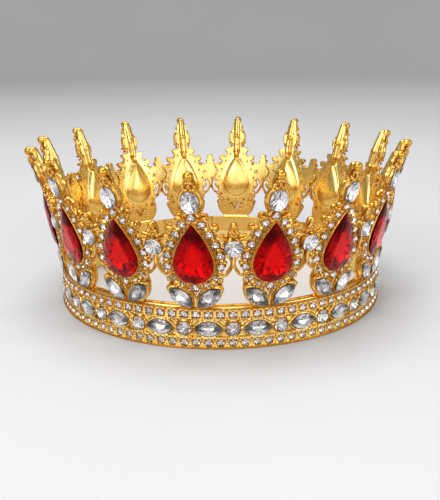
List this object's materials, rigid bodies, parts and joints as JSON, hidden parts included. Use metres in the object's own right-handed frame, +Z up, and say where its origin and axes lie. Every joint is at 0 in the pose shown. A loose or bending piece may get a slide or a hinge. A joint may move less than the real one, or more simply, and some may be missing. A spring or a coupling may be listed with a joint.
{
  "type": "crown",
  "caption": "Full-circle costume crown: cast gold-tone rim with rails of small stones, flared fleurons set with red pear crystals, leaf crystals below and beaded spires above.",
  "frame": {"origin": "centre of the base ring, on the surface that the crown stands on", "axes": "+Z up along the crown's axis; -Y is the middle of the front, halfway between two fleurons"},
  "size_m": [0.153, 0.153, 0.0649],
  "materials": {
    "gold_casting": "bright gold plating over a die casting",
    "red_crystal": "faceted, foil-backed",
    "clear_crystal": "faceted, foil-backed"
  },
  "bodies": {
    "root": {"rim_section_1": "gold_casting", "rim_section_2": "gold_casting", "rim_section_3": "gold_casting", "rim_section_4": "gold_casting", "rim_section_5": "gold_casting", "rim_section_6": "gold_casting", "rim_section_7": "gold_casting", "rim_section_8": "gold_casting", "fleuron_1": "gold_casting", "fleuron_2": "gold_casting", "fleuron_3": "gold_casting", "fleuron_4": "gold_casting", "fleuron_5": "gold_casting", "fleuron_6": "gold_casting", "fleuron_7": "gold_casting", "fleuron_8": "gold_casting", "fleuron_9": "gold_casting", "fleuron_10": "gold_casting", "fleuron_11": "gold_casting", "fleuron_12": "gold_casting", "fleuron_13": "gold_casting", "fleuron_14": "gold_casting", "fleuron_15": "gold_casting", "fleuron_16": "gold_casting", "pear_crystal_1": "red_crystal", "pear_crystal_2": "red_crystal", "pear_crystal_3": "red_crystal", "pear_crystal_4": "red_crystal", "pear_crystal_5": "red_crystal", "pear_crystal_6": "red_crystal", "pear_crystal_7": "red_crystal", "pear_crystal_8": "red_crystal", "pear_crystal_9": "red_crystal", "pear_crystal_10": "red_crystal", "pear_crystal_11": "red_crystal", "pear_crystal_12": "red_crystal", "pear_crystal_13": "red_crystal", "pear_crystal_14": "red_crystal", "pear_crystal_15": "red_crystal", "pear_crystal_16": "red_crystal", "oval_crystals": "clear_crystal", "spire_chatons": "clear_crystal", "halo_chatons": "clear_crystal", "link_crystals": "clear_crystal", "leaf_crystals": "clear_crystal", "rim_navettes": "clear_crystal", "rim_rounds": "clear_crystal", "upper_rail_chatons": "clear_crystal", "lower_rail_chatons": "clear_crystal"}
  },
  "joints": []
}
